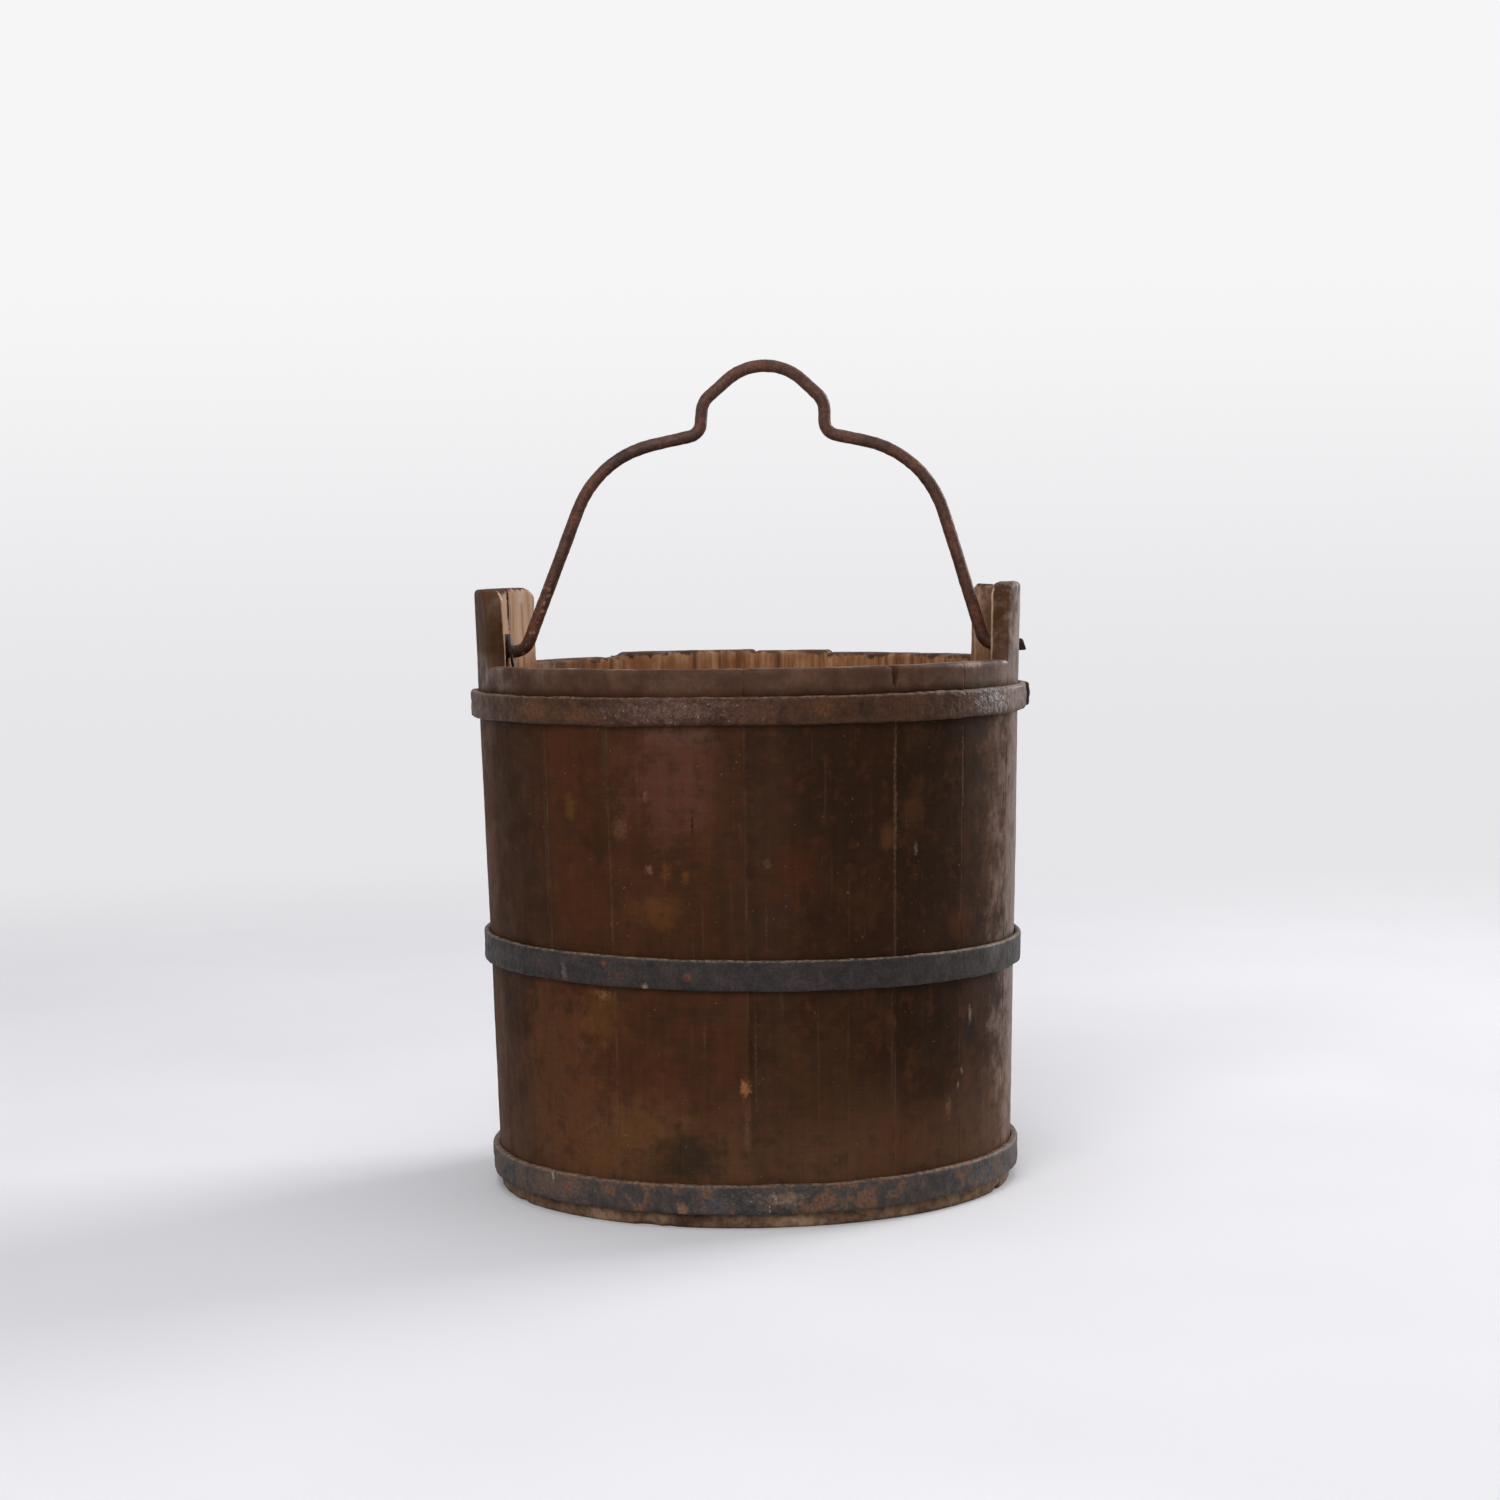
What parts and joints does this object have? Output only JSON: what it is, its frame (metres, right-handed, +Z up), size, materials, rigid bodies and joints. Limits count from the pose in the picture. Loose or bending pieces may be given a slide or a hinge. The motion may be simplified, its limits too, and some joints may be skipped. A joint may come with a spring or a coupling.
{
  "type": "coopered bail bucket",
  "caption": "Tapered bucket of upright wooden staves in three iron hoops, with two tall ear staves that carry a swinging iron bail with a raised crown.",
  "frame": {"origin": "middle of the foot, on the floor", "axes": "+Z up, +X towards the right ear along the line of the bail, -Y towards the front"},
  "size_m": [0.314, 0.31, 0.4579],
  "materials": {
    "stave_wood": "worn dark brown lacquer outside, bare tan wood inside",
    "bottom_wood": "bare, stained wood",
    "peg_bamboo": "bare bamboo",
    "hoop_iron": "forged, pitted, rusty, partly under brown lacquer",
    "bail_iron": "forged, smooth brown rust"
  },
  "bodies": {
    "bucket": {"ear_stave_right": "stave_wood", "ear_stave_left": "stave_wood", "stave_front_1": "stave_wood", "stave_front_2": "stave_wood", "stave_front_3": "stave_wood", "stave_front_4": "stave_wood", "stave_front_5": "stave_wood", "stave_front_6": "stave_wood", "stave_back_1": "stave_wood", "stave_back_2": "stave_wood", "stave_back_3": "stave_wood", "stave_back_4": "stave_wood", "stave_back_5": "stave_wood", "stave_pegs": "peg_bamboo", "bottom_board_left": "bottom_wood", "bottom_board_middle": "bottom_wood", "bottom_board_right": "bottom_wood", "bottom_dowels": "peg_bamboo", "hoop_top": "hoop_iron", "hoop_top_rivets": "hoop_iron", "hoop_middle": "hoop_iron", "hoop_middle_rivets": "hoop_iron", "hoop_bottom": "hoop_iron", "hoop_bottom_rivets": "hoop_iron", "washer_upright": "bail_iron", "washer_leaning": "bail_iron"},
    "bail": {"bail": "bail_iron"}
  },
  "joints": [
    {"name": "bail_swing", "type": "hinge", "parent": "bucket", "child": "bail", "pos_m": [0, 0, 0.2972], "axis": [1, 0, 0], "range_deg": [-90, 90]}
  ]
}
